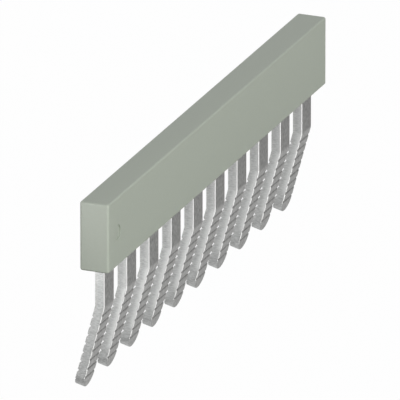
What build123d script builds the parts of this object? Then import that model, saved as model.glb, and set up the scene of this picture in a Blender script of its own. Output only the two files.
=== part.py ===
"""Comb jumper for a row of terminal blocks.

A bar-shaped insulating cap is moulded with a long slot in its underside. A comb, stamped from
tinned copper strip, is pressed into that slot and links the clamps that its legs plug into.
The legs leave the cap straight, bend once towards +Y and carry grooves across both faces.

Frame: x runs along the row, z points up out of the terminal blocks. The origin is the centre
of the cap's underside. Millimetres.
"""
import os
from math import cos, radians, sin, tan

from build123d import *

# Row of terminal blocks that the jumper serves
way_count = 10
pitch = 5.0

# Insulating cap
cap_setback = 0.2               # each end stops this short of the outer block's far side
cap_width = 2.6
cap_height = 6.15
cap_edge_radius = 0.2

# Strip that the comb is stamped from, and the spine that joins its legs inside the cap
strip_thickness = 0.85
spine_height = 3.6
spine_recess = 0.8              # from the cap's underside up to the spine's lower edge
spine_corner_radius = 0.3       # in the corners between the spine and its legs

# Contact legs
leg_width = 2.15
leg_drop = 3.5                  # from the cap's underside down to the corner of the bend
leg_reach = 7.85                # from the corner of the bend to the tip, along the leg
bend_angle = 15.0
bend_inner_radius = 0.3

# Grooves across the bent part of each leg, shallow on the -Y face and deeper on the +Y face
groove_pitch = 0.85
groove_tip_margin = 0.6         # no groove starts closer to the tip than this
front_groove_start = 0.53       # upper lip of the first groove, from the corner of the bend
front_groove_depth = 0.07
front_groove_width = 0.3
front_groove_root = 0.19        # from the upper lip down to the deepest line, along the leg
back_groove_start = 1.03
back_groove_depth = 0.125
back_groove_width = 0.23
back_groove_root = 0.095

# Fit of the comb in the cap's slot
slot_side_clearance = 0.02
slot_end_clearance = 0.1

# Sizes that follow from the ones above
cap_length = way_count * pitch - 2 * cap_setback
comb_length = (way_count - 1) * pitch + leg_width
spine_top = spine_recess + spine_height
half_strip = strip_thickness / 2
first_leg_x = -(way_count - 1) * pitch / 2
over = 1.0                      # how far cutting shapes reach past what they cut


def leg_positions():
    """Places of the legs along the row."""
    return [Pos(first_leg_x + way * pitch, 0, 0) for way in range(way_count)]


def insulating_cap():
    """Bar with rounded edges and the slot that takes the comb's spine."""
    on_underside = (Align.CENTER, Align.CENTER, Align.MIN)
    bar = Box(cap_length, cap_width, cap_height, align=on_underside)
    bar = fillet(bar.edges(), cap_edge_radius)
    slot_length = comb_length + 2 * slot_end_clearance
    slot_width = strip_thickness + 2 * slot_side_clearance
    return bar - Box(slot_length, slot_width, spine_top, align=on_underside)


def spine():
    """Upper part of the comb, down to the level of the cap's underside."""
    upright = Plane.XZ
    outline = Pos(0, spine_recess) * Rectangle(comb_length, spine_height, align=(Align.CENTER, Align.MIN))
    for leg_place in leg_positions():
        stub = Rectangle(leg_width, spine_recess, align=(Align.CENTER, Align.MIN))
        outline += leg_place * stub
    inner_corners = [v for v in outline.vertices().filter_by_position(Axis.Y, spine_recess, spine_recess)
                     if abs(v.X) < comb_length / 2 - leg_width / 2]
    outline = fillet(inner_corners, spine_corner_radius)
    return extrude(upright * outline, half_strip, both=True)


def strip_face(out, radius):
    """One face of the strip in the side view, out from its middle plane by the given distance."""
    turn = radians(bend_angle)
    corner = (out, -leg_drop + out * tan(turn / 2))
    tip = (out * cos(turn) + leg_reach * sin(turn), -leg_drop + out * sin(turn) - leg_reach * cos(turn))
    return FilletPolyline((out, 0), corner, tip, radius=radius)


def groove(side, depth, width, root):
    """Notch in one face of the strip, from its upper lip at height 0 down to its lower lip."""
    face = side * half_strip
    outside = side * (half_strip + over)
    upper_lip, lower_lip = (face, 0), (face, -width)
    deepest = (face - side * depth, -root)
    return make_face(Polyline(upper_lip, deepest, lower_lip, (outside, -width), (outside, 0), close=True))


def grooves(start, *shape):
    """The row of equal notches down one face of the bent part of a leg."""
    on_bent_part = Pos(0, -leg_drop) * Rot(0, 0, bend_angle)
    count = int((leg_reach - groove_tip_margin - start) / groove_pitch) + 1
    return [on_bent_part * Pos(0, -start - step * groove_pitch) * groove(*shape) for step in range(count)]


def tip_cutter():
    """What is stamped away around the full round of a leg's tip, square to the strip's faces."""
    turn = radians(bend_angle)
    face_of_leg = Plane(origin=(0, 0, -leg_drop), x_dir=(1, 0, 0), z_dir=(0, -cos(turn), -sin(turn)))
    round_centre = Pos(0, leg_width / 2 - leg_reach)
    waste = Rectangle(leg_width + 2 * over, leg_width / 2 + over, align=(Align.CENTER, Align.MAX))
    waste -= Circle(leg_width / 2)
    return extrude(face_of_leg * round_centre * waste, strip_thickness, both=True)


def leg():
    """One leg at the middle of the row, from the cap's underside to its tip."""
    front = strip_face(-half_strip, bend_inner_radius + strip_thickness)
    back = strip_face(half_strip, bend_inner_radius)
    profile = make_face([front, Line(front @ 1, back @ 1), back, Line(back @ 0, front @ 0)])
    profile -= grooves(front_groove_start, -1, front_groove_depth, front_groove_width, front_groove_root)
    profile -= grooves(back_groove_start, 1, back_groove_depth, back_groove_width, back_groove_root)
    return extrude(Plane.YZ * profile, leg_width / 2, both=True) - tip_cutter()


def contact_comb():
    """The stamped comb: its spine and one leg for each terminal block."""
    one_leg = leg()
    return spine() + [leg_place * one_leg for leg_place in leg_positions()]


os.makedirs("parts", exist_ok=True)
export_step(insulating_cap(), "parts/insulating_cap.step")
export_step(contact_comb(), "parts/contact_comb.step")
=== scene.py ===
# %% [markdown]
# A comb jumper links a row of terminal blocks: a comb stamped from tinned copper strip, under a
# moulded insulating cap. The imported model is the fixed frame. Both of its nodes get a finished
# piece over them, because their looks come from what the plain solids leave out: the rounded
# edges of stamped metal, notches that show between the legs, and the soft skin of a moulding.

# %% Load the frame
from math import cos, pi, radians, sin, tan

import bmesh
import bpy
from mathutils import Matrix, Vector


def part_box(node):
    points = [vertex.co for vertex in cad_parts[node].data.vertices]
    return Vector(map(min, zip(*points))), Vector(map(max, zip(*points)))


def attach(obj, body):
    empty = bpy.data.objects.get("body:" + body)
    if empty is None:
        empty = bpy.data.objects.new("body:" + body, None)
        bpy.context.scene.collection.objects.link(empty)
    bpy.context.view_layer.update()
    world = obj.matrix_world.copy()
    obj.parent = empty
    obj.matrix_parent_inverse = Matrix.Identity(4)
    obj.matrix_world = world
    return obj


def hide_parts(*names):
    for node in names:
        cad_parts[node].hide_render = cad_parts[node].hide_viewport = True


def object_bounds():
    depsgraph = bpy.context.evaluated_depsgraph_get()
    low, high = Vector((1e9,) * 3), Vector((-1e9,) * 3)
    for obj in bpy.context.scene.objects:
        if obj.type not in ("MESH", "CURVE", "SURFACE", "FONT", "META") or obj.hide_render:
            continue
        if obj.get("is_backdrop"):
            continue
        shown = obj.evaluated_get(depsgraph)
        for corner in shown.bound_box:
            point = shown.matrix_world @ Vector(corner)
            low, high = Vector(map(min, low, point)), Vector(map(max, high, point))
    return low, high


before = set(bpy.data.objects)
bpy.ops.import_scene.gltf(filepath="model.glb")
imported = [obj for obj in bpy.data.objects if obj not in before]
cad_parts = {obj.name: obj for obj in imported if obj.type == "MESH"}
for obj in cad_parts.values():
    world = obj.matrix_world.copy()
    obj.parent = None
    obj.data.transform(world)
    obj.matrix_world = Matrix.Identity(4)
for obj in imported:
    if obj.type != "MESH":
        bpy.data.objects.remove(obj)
cad_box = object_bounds()
print("CAD nodes:", sorted(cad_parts))

# %% [markdown]
# The frame is in metres and the part is drawn in millimetres, so one factor stands between them.
# The comb's outer sizes come from its own box in the frame. What the box can't tell is written
# here: how many ways there are, how far apart they are, and where in the cap the spine begins.

# %% Sizes of the comb
MM = 0.001
WAY_COUNT = 10
PITCH = 5 * MM
SPINE_BOTTOM = 0.8 * MM
comb_low, comb_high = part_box("contact_comb")
leg_width = comb_high.x - comb_low.x - (WAY_COUNT - 1) * PITCH
half_strip = -comb_low.y
strip_thickness = 2 * half_strip
spine_top = comb_high.z
print("legs %.2f mm wide, strip %.2f mm thick" % (leg_width / MM, strip_thickness / MM))

# %% [markdown]
# A stamped comb is drawn flat and bent last, so it is modelled in that order too: blank, rounded
# edges, grooves, bend. Heights on the flat blank differ from heights on the finished leg, because
# the bend turns a length of strip into an arc. Its middle plane keeps its length.

# %% Where things lie on the flat blank
BEND_ANGLE = radians(15)
BEND_INNER_RADIUS = 0.3 * MM
# The bend's corner is where the two straight runs of a leg would meet, and the reach starts there
BEND_CORNER = 3.5 * MM
LEG_REACH = 7.85 * MM
bend_radius = BEND_INNER_RADIUS + half_strip
tangent_length = bend_radius * tan(BEND_ANGLE / 2)
arc_length = bend_radius * BEND_ANGLE
bend_start = BEND_CORNER - tangent_length


def blank_height(along_leg):
    """Height on the flat blank of a place that far along the leg from the corner of its bend."""
    return -(bend_start + arc_length + along_leg - tangent_length)


blank_tip = blank_height(LEG_REACH)
tip_centre = blank_tip + leg_width / 2
print("flat legs reach %.2f mm below the cap" % (-blank_tip / MM))

# %% [markdown]
# Blender's bmesh operators work on lists of vertices, edges and faces. A few helpers find such a
# list by where its points are, and pull edges the way the editor's extrude does.

# %% Helpers for meshes
# Points that are nearer to each other than this, in metres, count as one
HAIR = 1e-7


def is_level(co, height):
    """Whether a point lies at a height."""
    return abs(co.z - height) < HAIR


def edges_where(bm, test):
    """Edges whose two ends both pass the test."""
    return [edge for edge in bm.edges if all(test(vert.co) for vert in edge.verts)]


def whole(bm):
    """All the geometry, in the form that the operators take."""
    return bm.verts[:] + bm.edges[:] + bm.faces[:]


def shift(bm, geometry, step):
    """Move every vertex of some geometry by a step."""
    verts = [item for item in geometry if isinstance(item, bmesh.types.BMVert)]
    bmesh.ops.translate(bm, verts=verts, vec=step)


def pull(bm, edges, step):
    """Extrude edges by a step."""
    shift(bm, bmesh.ops.extrude_edge_only(bm, edges=edges)["geom"], step)


# %% [markdown]
# One way of the blank is a half disc for the leg's round end. Its straight edge is pulled up to
# the spine and on to the spine's top, and the spine's two ends are pulled out to half the pitch.

# %% Draw one way of the flat blank
TIP_SEGMENTS = 48


def draw_one_way(bm):
    """One leg with its stretch of the spine, as a flat sheet in the plane y = 0."""
    upright = Matrix.Translation((0, 0, tip_centre)) @ Matrix.Rotation(pi / 2, 4, "X")
    bmesh.ops.create_circle(bm, cap_ends=True, segments=TIP_SEGMENTS, radius=leg_width / 2,
                            matrix=upright)
    bmesh.ops.bisect_plane(bm, geom=whole(bm), dist=HAIR, plane_co=(0, 0, tip_centre),
                           plane_no=(0, 0, 1), clear_outer=True)
    pull(bm, edges_where(bm, lambda co: is_level(co, tip_centre)), (0, 0, SPINE_BOTTOM - tip_centre))
    pull(bm, edges_where(bm, lambda co: is_level(co, SPINE_BOTTOM)), (0, 0, spine_top - SPINE_BOTTOM))
    for side in (-1, 1):
        spine_end = edges_where(bm, lambda co: (co.z > SPINE_BOTTOM - HAIR
                                                and side * co.x > leg_width / 2 - HAIR))
        pull(bm, spine_end, (side * (PITCH - leg_width) / 2, 0, 0))


comb = bmesh.new()
draw_one_way(comb)
print("one way:", len(comb.verts), "vertices")

# %% [markdown]
# Copies one pitch apart share the edges where they meet, so they merge into the whole comb. At
# both ends of the row some spine is left over, and two cuts take it off.

# %% Repeat it along the row


def repeat_ways(bm):
    """Copy the one way along the row and merge the copies into a comb."""
    one_way = whole(bm)
    for way in range(1, WAY_COUNT):
        shift(bm, bmesh.ops.duplicate(bm, geom=one_way)["geom"], (way * PITCH, 0, 0))
    shift(bm, bm.verts, (-(WAY_COUNT - 1) * PITCH / 2, 0, 0))
    bmesh.ops.remove_doubles(bm, verts=bm.verts[:], dist=HAIR)
    for side, corner in ((-1, comb_low), (1, comb_high)):
        bmesh.ops.bisect_plane(bm, geom=whole(bm), dist=HAIR, plane_co=(corner.x, 0, 0),
                               plane_no=(side, 0, 0), clear_outer=True)


repeat_ways(comb)
print("blank:", len(comb.verts), "vertices,", len(comb.faces), "faces")

# %% [markdown]
# Pulling the sheet through the strip's thickness gives the stamped piece. A punch leaves no sharp
# inner corner, so the corners between the spine and its legs are rounded.

# %% Give it thickness
INNER_CORNER_RADIUS = 0.3 * MM
INNER_CORNER_SEGMENTS = 5
CORNER_TURN = radians(60)


def thicken(bm):
    """Turn the flat sheet into a solid strip about the plane y = 0."""
    shift(bm, bmesh.ops.extrude_face_region(bm, geom=bm.faces[:])["geom"], (0, strip_thickness, 0))
    shift(bm, bm.verts, (0, -half_strip, 0))
    bmesh.ops.recalc_face_normals(bm, faces=bm.faces[:])


def round_inner_corners(bm):
    """Fillet the corners between the spine and its legs."""
    corners = [edge for edge in edges_where(bm, lambda co: is_level(co, SPINE_BOTTOM))
               if abs(edge.verts[0].co.x - edge.verts[1].co.x) < HAIR
               and edge.calc_face_angle(0) > CORNER_TURN]
    bmesh.ops.bevel(bm, geom=corners, offset=INNER_CORNER_RADIUS, segments=INNER_CORNER_SEGMENTS,
                    profile=0.5, affect="EDGES", material=-1)
    return len(corners)


thicken(comb)
print("corners rounded:", round_inner_corners(comb))

# %% [markdown]
# A press draws the edges in on the side where the punch enters, so they aren't sharp: that narrow
# round catches the light along every leg, except round its tip. The side where it leaves stays
# nearly square. Faces are marked by how they were made, because the rolled faces, the rougher
# sheared walls and the drawn-in edges each have a finish of their own.

# %% Round the long edges
FRONT_EDGE_RADIUS = 0.08 * MM
BACK_EDGE_RADIUS = 0.02 * MM
EDGE_SEGMENTS = 4
# A face looks squarely along y when its normal has at least this much y in it
SQUARE_ON = 0.99
ROLLED, SHEARED, DRAWN_IN = 0, 1, 2


def mark_walls(bm):
    """Tell the sheared walls from the rolled faces while both are still square to each other."""
    for face in bm.faces:
        face.material_index = ROLLED if abs(face.normal.y) > SQUARE_ON else SHEARED


def soften_outline(bm, side, radius):
    """Round the long edges where the rolled face on one side meets the sheared walls."""
    outline = [edge for edge in bm.edges
               if len({side * face.normal.y > SQUARE_ON for face in edge.link_faces}) == 2]
    bmesh.ops.bevel(bm, geom=outline, offset=radius, segments=EDGE_SEGMENTS, profile=0.5,
                    affect="EDGES", material=DRAWN_IN)
    return len(outline)


def dull_tips(bm):
    """Give the edges round the tips the finish of the walls beside them."""
    round_tips = [face for face in bm.faces
                  if face.material_index == DRAWN_IN and face.calc_center_median().z < tip_centre]
    for face in round_tips:
        face.material_index = SHEARED
    return len(round_tips)


mark_walls(comb)
print("front edges softened:", soften_outline(comb, -1, FRONT_EDGE_RADIUS))
print("back edges softened:", soften_outline(comb, 1, BACK_EDGE_RADIUS))
print("faces dulled at the tips:", dull_tips(comb))

# %% [markdown]
# The grooves are pressed in, they aren't cut out. A groove needs three lines across the strip: an
# upper lip, a root and a lower lip. Cutting planes put those lines in, and then whatever stands
# higher at a root than the groove's floor is pushed down to it, as a coining tool would. Both
# faces have eight grooves, those on the +Y face deeper and half a step lower. On that face they are
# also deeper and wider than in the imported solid, so that their notches show between the legs.

# %% Press the grooves
GROOVE_PITCH = 0.85 * MM
GROOVE_COUNT = 8
# The start is measured from the corner of the bend, the root and the width from the upper lip
FRONT_GROOVES = {"side": -1, "start": 0.53 * MM, "root": 0.19 * MM, "width": 0.3 * MM,
                 "depth": 0.07 * MM}
BACK_GROOVES = {"side": 1, "start": 1.03 * MM, "root": 0.095 * MM, "width": 0.3 * MM,
                "depth": 0.17 * MM}


def slice_at(bm, height):
    """Put a line of edges round every leg at that height."""
    bmesh.ops.bisect_plane(bm, geom=whole(bm), dist=HAIR, plane_co=(0, 0, height),
                           plane_no=(0, 0, 1))


def press_grooves(bm, row):
    """Press one face's row of grooves and return the heights of their lines."""
    lines = []
    groove_floor = half_strip - row["depth"]
    for step in range(GROOVE_COUNT):
        lip = row["start"] + step * GROOVE_PITCH
        upper, root, lower = (blank_height(lip + part) for part in (0, row["root"], row["width"]))
        for height in (upper, root, lower):
            slice_at(bm, height)
        lines += [upper, root, lower]
        for vert in bm.verts:
            if is_level(vert.co, root) and row["side"] * vert.co.y > groove_floor:
                vert.co.y = row["side"] * groove_floor
    return lines


groove_lines = press_grooves(comb, FRONT_GROOVES) + press_grooves(comb, BACK_GROOVES)
print("groove lines:", len(groove_lines))

# %% [markdown]
# A surface looks smooth when its faces share their normals, and crisp where an edge is marked
# sharp. Groove lines, real corners and the two sides of a rounded edge have to be crisp. They are
# marked on the flat blank, while the groove lines are level and easy to find. A few more lines are
# cut first, across the stretch that will become the bend.

# %% Lines for the bend, and crisp edges
BEND_STEPS = 6
CRISP_GROOVE = radians(12)
CRISP_EDGE = radians(40)


def mark_crisp_edges(bm, lines=()):
    """Make all faces smooth and mark the edges between them that have to look crisp."""
    for face in bm.faces:
        face.smooth = True
    for edge in bm.edges:
        on_line = any(all(is_level(vert.co, line) for vert in edge.verts) for line in lines)
        crisp_turn = CRISP_GROOVE if on_line else CRISP_EDGE
        same_surface = len({face.material_index for face in edge.link_faces}) == 1
        edge.smooth = same_surface and edge.calc_face_angle(0) < crisp_turn


for step in range(BEND_STEPS + 1):
    slice_at(comb, -bend_start - arc_length * step / BEND_STEPS)
mark_crisp_edges(comb, groove_lines)
print("crisp edges:", sum(not edge.smooth for edge in comb.edges))

# %% [markdown]
# Painted highlight on the walls between the legs: they are made lighter, most near the -Y face
# and along the grooved part, less above the bend, and not at all round the tips. The outer walls at
# the comb's two ends have no neighbouring leg, so they get none. Each point keeps this as a number,
# an attribute, because depth in the strip is easy to read now and hard to read after the bend.

# %% Mark the painted highlight on the walls
PAINTED_LIGHT = "painted_light"
PAINTED_LIGHT_ABOVE_BEND = 0.75
# The length of leg over which the painted highlight fades out above a tip
PAINTED_LIGHT_FADE = 1.3 * MM


def within_one(share):
    """A share, kept between 0 and 1."""
    return min(max(share, 0), 1)


def store_painted_light(bm):
    """Keep with each point how much painted highlight it gets, from 0 to 1."""
    layer = bm.verts.layers.float.new(PAINTED_LIGHT)
    for vert in bm.verts:
        towards_front = within_one(-vert.co.y / half_strip)
        bent_share = within_one((-bend_start - vert.co.z) / arc_length)
        above_tip = within_one((vert.co.z - tip_centre) / PAINTED_LIGHT_FADE)
        most = PAINTED_LIGHT_ABOVE_BEND + (1 - PAINTED_LIGHT_ABOVE_BEND) * bent_share
        # The outer walls at the comb's two ends get no painted highlight
        on_cut_end = abs(vert.co.x) > comb_high.x - FRONT_EDGE_RADIUS - HAIR
        vert[layer] = 0 if on_cut_end else most * above_tip * towards_front
    return sum(vert[layer] > 0 for vert in bm.verts)


print("rubbed points:", store_painted_light(comb), "of", len(comb.verts))

# %% [markdown]
# The last press stroke bends all ten legs at once. Each point keeps its distance from the middle
# plane and rolls round the bend's centre, and what lies below the arc swings out straight.

# %% Bend the legs


def bent(co):
    """Where a point of the flat blank goes when the leg is bent."""
    below = -bend_start - co.z
    if below <= 0:
        return co.copy()
    turn = BEND_ANGLE * within_one(below / arc_length)
    straight = max(below - arc_length, 0)
    reach = bend_radius - co.y
    return Vector((co.x,
                   bend_radius - reach * cos(turn) + straight * sin(turn),
                   -bend_start - reach * sin(turn) - straight * cos(turn)))


for vert in comb.verts:
    vert.co = bent(vert.co)
print("tips %.2f mm below the cap" % (-min(vert.co.z for vert in comb.verts) / MM))

# %% [markdown]
# A finished bmesh becomes an object that stays at the origin, because its place is in its mesh. It
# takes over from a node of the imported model, and rides on the body that the node belongs to.

# %% Hand over the comb


def finished_piece(bm, name, node):
    """Turn a bmesh into an object that stands for a CAD node and rides where it rides."""
    mesh = bpy.data.meshes.new(name)
    bm.to_mesh(mesh)
    bm.free()
    piece = bpy.data.objects.new(name, mesh)
    bpy.context.scene.collection.objects.link(piece)
    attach(piece, "root")
    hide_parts(node)
    print(name, "has", len(mesh.vertices), "vertices and", len(mesh.polygons), "faces")
    return piece


comb_piece = finished_piece(comb, "comb_stamping", "contact_comb")

# %% [markdown]
# The cap is one moulded bar. A box with rounded edges gives it, because a mould's cut corners are
# never sharp.

# %% Mould the cap
CAP_EDGE_RADIUS = 0.2 * MM
CAP_EDGE_SEGMENTS = 5
cap_low, cap_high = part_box("insulating_cap")


def mould_bar():
    """The cap's outside: a box the size of the CAD node with every edge rounded."""
    bm = bmesh.new()
    centre = (cap_high + cap_low) / 2
    size = cap_high - cap_low
    bmesh.ops.create_cube(bm, size=1, matrix=Matrix.Translation(centre) @ Matrix.Diagonal((*size, 1)))
    bmesh.ops.bevel(bm, geom=bm.edges[:], offset=CAP_EDGE_RADIUS, segments=CAP_EDGE_SEGMENTS,
                    profile=0.5, affect="EDGES", material=-1)
    return bm


cap = mould_bar()
print("bar:", len(cap.faces), "faces")

# %% [markdown]
# Four cuts in the bar's underside frame the slot, and the framed face is pushed up to where the
# comb's spine ends. Cuts all round a circle frame a shallow recess near one end of the long face,
# the plain kind that a pin leaves when it pushes a moulding out of its tool.

# %% Sink the slot and the recess
SLOT_SIDE_CLEARANCE = 0.02 * MM
SLOT_END_CLEARANCE = 0.1 * MM
RECESS_RADIUS = 0.65 * MM
RECESS_DEPTH = 0.1 * MM
RECESS_INSET = 2 * MM
RECESS_SIDES = 32
ALONG_Y, ALONG_Z = 1, 2


def flat_face(bm, axis, side):
    """The large flat face of the bar that looks along an axis."""
    return max(bm.faces, key=lambda face: side * face.normal[axis] * face.calc_area())


def frame_in_face(bm, face, planes):
    """Cut one flat face by planes and return the piece of it that lies inside them all."""
    for point, outward in planes:
        cut = bmesh.ops.bisect_plane(bm, geom=[face, *face.edges, *face.verts], dist=HAIR,
                                     plane_co=point, plane_no=outward)
        pieces = [item for item in cut["geom"] if isinstance(item, bmesh.types.BMFace)]
        face = min(pieces, key=lambda item: (item.calc_center_median() - point).dot(outward))
    return face


def push(bm, face, step):
    """Extrude one face by a step, and delete the face that stays behind across the mouth."""
    shift(bm, bmesh.ops.extrude_face_region(bm, geom=[face])["geom"], step)
    bmesh.ops.delete(bm, geom=[face], context="FACES_ONLY")


slot_half_width = half_strip + SLOT_SIDE_CLEARANCE
slot_half_length = comb_high.x + SLOT_END_CLEARANCE
slot_sides = [(Vector((1, 0, 0)), slot_half_length), (Vector((-1, 0, 0)), slot_half_length),
              (Vector((0, 1, 0)), slot_half_width), (Vector((0, -1, 0)), slot_half_width)]
slot_planes = [(side * reach, side) for side, reach in slot_sides]
push(cap, frame_in_face(cap, flat_face(cap, ALONG_Z, -1), slot_planes), (0, 0, spine_top))

recess_centre = Vector((cap_low.x + RECESS_INSET, cap_low.y, cap_high.z / 2))
recess_turns = [2 * pi * step / RECESS_SIDES for step in range(RECESS_SIDES)]
recess_sides = [Vector((cos(turn), 0, sin(turn))) for turn in recess_turns]
recess_planes = [(recess_centre + side * RECESS_RADIUS, side) for side in recess_sides]
push(cap, frame_in_face(cap, flat_face(cap, ALONG_Y, -1), recess_planes), (0, RECESS_DEPTH, 0))
print("cap:", len(cap.faces), "faces")

# %% [markdown]
# The cap's rounded edges have to look smooth, and the rims of its slot and recess crisp. The
# helper that marked the comb's edges does that too, and the cap is handed over the same way.

# %% Hand over the cap
mark_crisp_edges(cap)
cap_piece = finished_piece(cap, "cap_moulding", "insulating_cap")

# %% [markdown]
# Materials are written with three helpers: one turns an sRGB hex colour to the linear numbers that
# a shader needs, one adds a node with its settings and links, and one starts an empty material. A
# Mix node has sockets of the same name for numbers and for colours, so its colours go by number.

# %% Helpers for materials
MIX_FROM, MIX_TO, MIXED = 6, 7, 2


def linear(hex_colour):
    """Linear RGBA from an sRGB hex colour."""
    parts = [int(hex_colour[i:i + 2], 16) / 255 for i in (1, 3, 5)]
    return (*[p / 12.92 if p <= 0.04045 else ((p + 0.055) / 1.055) ** 2.4 for p in parts], 1)


def add(tree, kind, settings=(), links=()):
    """Add a node: settings are properties or plain sockets, links are socket: (node, output)."""
    node = tree.nodes.new(kind)
    for key, value in dict(settings).items():
        if isinstance(key, str) and hasattr(node, key):
            setattr(node, key, value)
        else:
            node.inputs[key].default_value = value
    for key, (source, output) in dict(links).items():
        tree.links.new(source.outputs[output], node.inputs[key])
    return node


def new_tree(name):
    """A new node material and its empty tree."""
    material = bpy.data.materials.new(name)
    material.use_nodes = True
    material.node_tree.nodes.clear()
    return material, material.node_tree


# %% [markdown]
# The cap is polyamide, moulded in a spark-eroded tool. That gives a pebble grey with a green cast
# and a fine matt skin, which blurs its reflections and shows as a faint grain. The grain is drawn
# a little coarser than on a real moulding, because it would be too fine to show.

# %% Moulded polyamide
SKIN_GRAIN = 0.15 * MM
SKIN_RELIEF = 0.01 * MM
SKIN_TONES = ("#9CA394", "#A2A99C")


def moulded_polyamide():
    """Pebble grey plastic, with a grain that shows in its tone and in its relief."""
    material, tree = new_tree("polyamide_pebble_grey_moulded")
    place = add(tree, "ShaderNodeTexCoord")
    grain = add(tree, "ShaderNodeTexNoise", {"Scale": 1 / SKIN_GRAIN, "Detail": 2.0},
                {"Vector": (place, "Object")})
    darker, lighter = (linear(tone) for tone in SKIN_TONES)
    tone = add(tree, "ShaderNodeMix", {"data_type": "RGBA", MIX_FROM: darker, MIX_TO: lighter},
               {"Factor": (grain, "Fac")})
    bump = add(tree, "ShaderNodeBump", {"Strength": 0.25, "Distance": SKIN_RELIEF},
               {"Height": (grain, "Fac")})
    shader = add(tree, "ShaderNodeBsdfPrincipled", {"Roughness": 0.6, "IOR": 1.53},
                 {"Base Color": (tone, MIXED), "Normal": (bump, "Normal")})
    add(tree, "ShaderNodeOutputMaterial", (), {"Surface": (shader, "BSDF")})
    return material


cap_piece.data.materials.append(moulded_polyamide())
print("cap:", cap_piece.data.materials[0].name)

# %% [markdown]
# The comb is copper under electroplated tin. Matt tin is a pale grey metal with a satin sheen.
# Rolled faces are smooth, with faint marks along the legs. Sheared walls are rougher, with short
# marks through the strip's thickness, so they spread the light more, and a painted highlight makes
# them lighter towards the -Y face. The edges that the punch drew in are burnished, and their tone
# is set lighter, partly for that finish and partly as painted highlight, for the bright narrow line
# that tells the eye that this is metal.

# %% Matt tin plating
# From the first of these two values of painted highlight to the second, a tone gets lighter, slowly
# at first
PAINTED_LIGHT_FROM = 0.2
PAINTED_LIGHT_TO = 0.8
PAINTED_LIGHT_CURVE = 1.6


def paint_highlight(tree, tone, lighter):
    """Paint a highlight: blend a tone into a lighter one where the points' painted highlight is high.
    """
    painted_light = add(tree, "ShaderNodeAttribute", {"attribute_name": PAINTED_LIGHT})
    ramp = add(tree, "ShaderNodeMapRange", {"From Min": PAINTED_LIGHT_FROM, "From Max": PAINTED_LIGHT_TO},
               {"Value": (painted_light, "Fac")})
    share = add(tree, "ShaderNodeMath", {"operation": "POWER", 1: PAINTED_LIGHT_CURVE},
                {0: (ramp, "Result")})
    return add(tree, "ShaderNodeMix", {"data_type": "RGBA", MIX_TO: linear(lighter)},
               {"Factor": (share, "Value"), MIX_FROM: (tone, MIXED)})


def matt_tin(name, tones, marks, roughness, relief, painted_light_tone=None):
    """Tin over one kind of surface. The marks are given by their size along x, y and z."""
    material, tree = new_tree(name)
    place = add(tree, "ShaderNodeTexCoord")
    stretched = add(tree, "ShaderNodeMapping", {"Scale": [1 / size for size in marks]},
                    {"Vector": (place, "Object")})
    noise = add(tree, "ShaderNodeTexNoise", {"Scale": 1.0, "Detail": 3.0, "Roughness": 0.6},
                {"Vector": (stretched, "Vector")})
    # Most of the noise lies near its middle, so that part is spread over both tones
    contrast = add(tree, "ShaderNodeMapRange", {"From Min": 0.3, "From Max": 0.7},
                   {"Value": (noise, "Fac")})
    darker, lighter = (linear(tone) for tone in tones)
    tone = add(tree, "ShaderNodeMix", {"data_type": "RGBA", MIX_FROM: darker, MIX_TO: lighter},
               {"Factor": (contrast, "Result")})
    # Painted highlight: a lighter tone where the points' attribute is high
    if painted_light_tone:
        tone = paint_highlight(tree, tone, painted_light_tone)
    bump = add(tree, "ShaderNodeBump", {"Strength": 0.3, "Distance": relief},
               {"Height": (noise, "Fac")})
    shader = add(tree, "ShaderNodeBsdfPrincipled", {"Metallic": 1.0, "Roughness": roughness},
                 {"Base Color": (tone, MIXED), "Normal": (bump, "Normal")})
    add(tree, "ShaderNodeOutputMaterial", (), {"Surface": (shader, "BSDF")})
    return material


# %% [markdown]
# The comb's three kinds of surface take that tin in the order in which its faces were marked:
# rolled, sheared, drawn in.

# %% Tin on the comb
ROLLING_MARKS = (0.2 * MM, 0.2 * MM, 0.35 * MM)
SHEAR_MARKS = (0.1 * MM, 0.3 * MM, 0.09 * MM)
BURNISH_MARKS = (0.3 * MM, 0.3 * MM, 0.3 * MM)

comb_finishes = [
    matt_tin("tin_plating_on_rolled_face", ("#989896", "#C4C4C2"), ROLLING_MARKS,
             roughness=0.38, relief=0.004 * MM),
    # The sheared walls' lightest tone is painted highlight
    matt_tin("tin_plating_on_sheared_edge", ("#989998", "#BCBDBC"), SHEAR_MARKS,
             roughness=0.42, relief=0.004 * MM, painted_light_tone="#DFE0DF"),
    # The drawn-in edges' light tones are partly their burnished finish and partly painted highlight
    matt_tin("tin_plating_on_drawn_in_edge", ("#E0E0DE", "#ECECEA"), BURNISH_MARKS,
             roughness=0.3, relief=0.002 * MM),
]
for finish in comb_finishes:
    comb_piece.data.materials.append(finish)
print("comb:", [finish.name for finish in comb_piece.data.materials])

# %% [markdown]
# The part plugs downwards into its blocks and can't stand on its tips, so it hangs over the floor.
# The floor is white to the camera and in reflections. Other rays find pale paper there, so that
# it keeps a trace of shadow and adds no glare of its own.

# %% Floor
FLOOR_HEIGHT = -300 * MM
FLOOR_SIZE = 6000 * MM
# How much of plain white the camera finds on the floor: the rest is paper under the lamps
FLOOR_WHITENESS = 0.97
WHITE = linear("#FFFFFF")


def seen_directly(tree):
    """1 for rays that show the background: camera, glossy and transmission rays."""
    path = add(tree, "ShaderNodeLightPath")
    shown = add(tree, "ShaderNodeMath", {"operation": "MAXIMUM"},
                {0: (path, "Is Camera Ray"), 1: (path, "Is Glossy Ray")})
    return add(tree, "ShaderNodeMath", {"operation": "MAXIMUM"},
               {0: (shown, "Value"), 1: (path, "Is Transmission Ray")})


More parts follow.
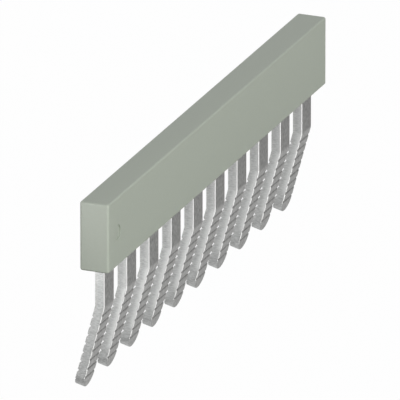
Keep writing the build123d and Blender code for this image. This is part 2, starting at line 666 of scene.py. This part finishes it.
def pale_floor():
    """Paper that shows as plain white, apart from a trace of its shadow."""
    material, tree = new_tree("studio_floor_pale_paper")
    paper = add(tree, "ShaderNodeBsdfDiffuse", {"Color": linear("#E6E6E6")})
    white = add(tree, "ShaderNodeEmission", {"Color": WHITE, "Strength": 1.0})
    share = add(tree, "ShaderNodeMath", {"operation": "MULTIPLY", 1: FLOOR_WHITENESS},
                {0: (seen_directly(tree), "Value")})
    mix = add(tree, "ShaderNodeMixShader", (),
              {0: (share, "Value"), 1: (paper, "BSDF"), 2: (white, "Emission")})
    add(tree, "ShaderNodeOutputMaterial", (), {"Surface": (mix, "Shader")})
    return material


def stage_sheet(name, place, width, height, material):
    """A flat rectangle that belongs to the studio and not to the part."""
    bm = bmesh.new()
    # A grid of size 0.5 reaches half a metre each way, so it is one metre wide before it is placed
    bmesh.ops.create_grid(bm, x_segments=1, y_segments=1, size=0.5,
                          matrix=place @ Matrix.Diagonal((width, height, 1, 1)))
    mesh = bpy.data.meshes.new(name)
    bm.to_mesh(mesh)
    bm.free()
    mesh.materials.append(material)
    sheet = bpy.data.objects.new(name, mesh)
    bpy.context.scene.collection.objects.link(sheet)
    sheet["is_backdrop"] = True
    return sheet


stage_sheet("studio_floor", Matrix.Translation((0, 0, FLOOR_HEIGHT)), FLOOR_SIZE, FLOOR_SIZE,
            pale_floor())
print("floor %.0f mm under the part's tips" % ((comb_low.z - FLOOR_HEIGHT) / MM))

# %% [markdown]
# The world is white behind the part too, and in its reflections. As a light it is a grey studio
# that fills the shadows. Its touch of violet is there because the top of the cap looks less green
# in the photograph than the faces that the lamps reach.

# %% World
STUDIO_LIGHT = linear("#787583")


def studio_world():
    """White where it is seen, and the studio's light everywhere else."""
    world = bpy.data.worlds.new("studio_world")
    world.use_nodes = True
    tree = world.node_tree
    tree.nodes.clear()
    colour = add(tree, "ShaderNodeMix", {"data_type": "RGBA", MIX_FROM: STUDIO_LIGHT, MIX_TO: WHITE},
                 {"Factor": (seen_directly(tree), "Value")})
    background = add(tree, "ShaderNodeBackground", {"Strength": 1.0}, {"Color": (colour, MIXED)})
    add(tree, "ShaderNodeOutputWorld", (), {"Surface": (background, "Background")})
    return world


bpy.context.scene.world = studio_world()
print("world:", bpy.context.scene.world.name)

# %% [markdown]
# Three softboxes light the part: a large one in front, one off its near end, and a fill behind it
# that metal doesn't show. All of them stand a little above it, so the cap's lower edges fall into
# shade, and its near end is the brightest face.

# %% Softboxes


def towards(azimuth, elevation):
    """The direction from the part to something around it. Azimuth runs from +X to +Y."""
    turn, rise = radians(azimuth), radians(elevation)
    return Vector((cos(rise) * cos(turn), cos(rise) * sin(turn), sin(rise)))


def softbox(name, turns, distance, size, radiance):
    """A square lamp that faces the part, measured in metres. Its radiance is 1 for plain white."""
    direction = towards(*turns)
    lamp = bpy.data.lights.new(name, "AREA")
    lamp.size = size
    lamp.energy = radiance * pi * size ** 2
    piece = bpy.data.objects.new(name, lamp)
    piece.location = direction * distance
    piece.rotation_euler = direction.to_track_quat("Z", "Y").to_euler()
    piece.visible_camera = False
    bpy.context.scene.collection.objects.link(piece)
    return piece


softbox("front_softbox", turns=(-115, 19), distance=3.5, size=2.8, radiance=4.75)
softbox("end_softbox", turns=(-175, 19), distance=3.5, size=2.1, radiance=3.75)
back_fill = softbox("back_softbox", turns=(60, 12), distance=2.0, size=1.6, radiance=3.6)
back_fill.visible_glossy = False
print("softboxes:", [lamp.name for lamp in bpy.data.lights])

# %% [markdown]
# Metal shows what is around it, so its look is made with boards more than with lamps. A board is
# seen by reflections alone. Its tone runs from 0 for black to 1 for white, and goes higher on a lit
# board. Grey boards turn the legs' broad faces darker than their ends, and others that lie below
# the part keep its bent faces grey. Lit ones draw the bright line down each leg's edge and make
# the near legs lighter than the far ones.

# %% Boards for the metal


def board(name, start, turns, distance, size, tone):
    """A board that faces back to its starting point, measured in millimetres."""
    direction = towards(*turns)
    material, tree = new_tree(name + "_tone")
    surface = add(tree, "ShaderNodeEmission", {"Strength": tone})
    add(tree, "ShaderNodeOutputMaterial", (), {"Surface": (surface, "Emission")})
    turned = direction.to_track_quat("Z", "Y").to_matrix().to_4x4()
    place = Matrix.Translation(start + direction * (distance * MM)) @ turned
    width, height = size
    piece = stage_sheet(name, place, width * MM, height * MM, material)
    piece.visible_camera = piece.visible_diffuse = piece.visible_shadow = False
    return piece


middle = Vector((0, 0, 0))
near_end = Vector((comb_low.x, 0, -3 * MM))
beside_near_half = Vector((-33 * MM, 17.5 * MM, 0))
under_far_half = Vector((110 * MM, 20 * MM, 0))
under_tips = Vector((2 * MM, 9 * MM, 0))
# What the broad faces of the legs show, from in front and from behind
board("far_board", middle, turns=(-35, -5), distance=600, size=(900, 600), tone=0.36)
board("back_board", middle, turns=(75, 0), distance=600, size=(900, 600), tone=0.45)
# Below the part: for the legs' ends, for their bent faces, and a white one for the round tips
board("under_board", beside_near_half, turns=(0, -90), distance=40, size=(156, 85), tone=0.6)
board("beyond_board", under_far_half, turns=(0, -90), distance=41, size=(140, 80), tone=0.56)
board("tip_board", under_tips, turns=(0, -90), distance=39, size=(66, 24), tone=1.0)
# The bright line down the edges
board("edge_board", middle, turns=(-124, -50), distance=500, size=(740, 320), tone=3.5)
# A small lit board just off the near end, and a dark one beside it for the first leg
board("end_board", near_end, turns=(151, 12), distance=27, size=(15, 16), tone=7.8)
board("past_end_board", near_end, turns=(183, -14), distance=45, size=(26, 54), tone=0.3)

# %% [markdown]
# The pale floor throws the lamps' light back up, and the cap's lower edges would catch it, but
# they are dark in the photograph. A black card under the part keeps that light off. Unlike the
# other boards, it takes light from plain surfaces and no reflection shows it.

# %% Black card under the part
shade = board("shade_board", middle, turns=(0, -90), distance=50, size=(400, 400), tone=0.0)
shade.visible_diffuse = True
shade.visible_glossy = False
print("card:", [round(side / MM) for side in shade.dimensions[:2]], "mm")

# %% [markdown]
# The camera stands where the photograph was taken from: 22 degrees round from the row and 20.5
# degrees up. It is far away behind a long lens, which keeps the two ends of the part nearly the
# same size.

# %% Camera
# Azimuth and elevation in degrees: the row's -X end lies at 180
CAMERA_TURNS = (180 + 21.79, 20.51)
CAMERA_DISTANCE = 1549 * MM
CAMERA_FOCAL_LENGTH = 1650
CAMERA_AIM = Vector((-0.96 * MM, 0.03 * MM, -1.84 * MM))
back = towards(*CAMERA_TURNS)
camera_data = bpy.data.cameras.new("camera")
camera_data.lens = CAMERA_FOCAL_LENGTH
camera_data.clip_start = 100 * MM
camera_data.clip_end = 10000 * MM
camera = bpy.data.objects.new("camera", camera_data)
camera.location = CAMERA_AIM + back * CAMERA_DISTANCE
camera.rotation_euler = back.to_track_quat("Z", "Y").to_euler()
bpy.context.scene.collection.objects.link(camera)
bpy.context.scene.camera = camera
bpy.context.scene.view_settings.view_transform = "Standard"
print("camera at", [round(metres, 3) for metres in camera.location], "m")

# %% [markdown]
# Finishing a part mustn't change its size, so the box of the dressed part is kept beside the box
# of the imported one. The last line prints the largest change between them.

# %% Check the size
dressed_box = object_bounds()
changes = [abs(a - b) for cad, dressed in zip(cad_box, dressed_box) for a, b in zip(cad, dressed)]
print("largest change of box: %.3f mm" % (max(changes) / MM))
